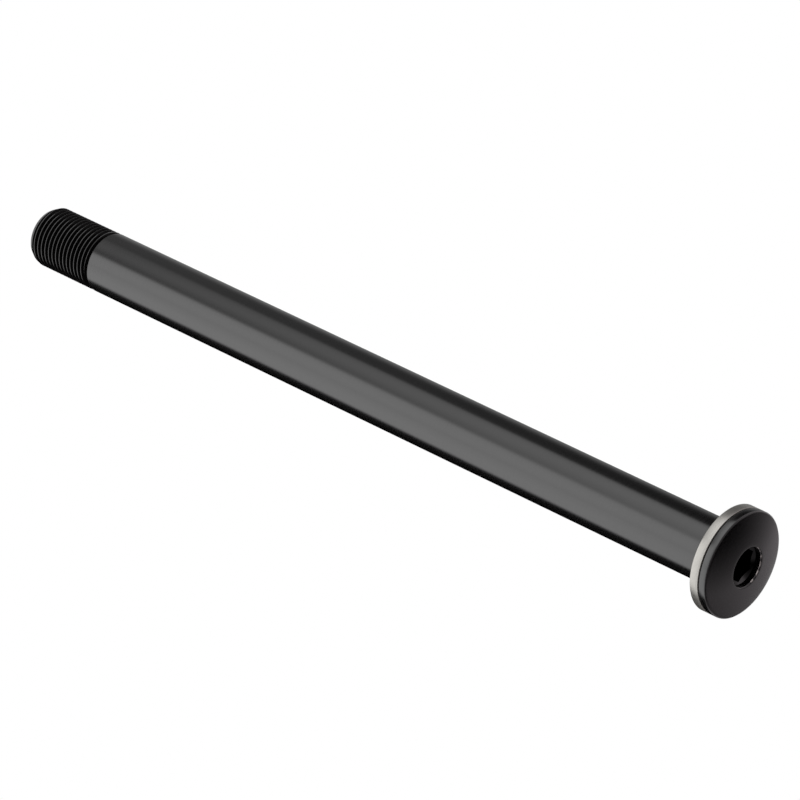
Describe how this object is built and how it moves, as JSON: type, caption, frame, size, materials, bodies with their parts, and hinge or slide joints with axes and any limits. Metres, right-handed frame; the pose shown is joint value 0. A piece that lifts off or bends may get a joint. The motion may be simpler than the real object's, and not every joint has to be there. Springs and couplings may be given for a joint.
{
  "type": "bicycle thru axle",
  "caption": "Slender black axle with a low domed head, a hex key socket and a threaded end; a loose steel washer sits under the head. It clamps a bicycle wheel's hub in the frame.",
  "frame": {"origin": "centre of the narrow flat land round the socket in the head's domed face, on which the axle stands", "axes": "+Z along the axle from the head to the threaded tip; X and Y across it, with two corners of the hex socket on Y"},
  "size_m": [0.0202, 0.0202, 0.1754],
  "materials": {
    "black_anodised_aluminium": "satin black anodised, fine turning marks",
    "turned_steel": "bare stainless steel, fine turned"
  },
  "bodies": {
    "axle": {"axle": "black_anodised_aluminium"},
    "washer": {"washer": "turned_steel"}
  },
  "joints": [
    {"name": "washer_spin", "type": "hinge", "parent": "axle", "child": "washer", "pos_m": [0, 0, 0.0038], "axis": [0, 0, 1], "continuous": true}
  ]
}
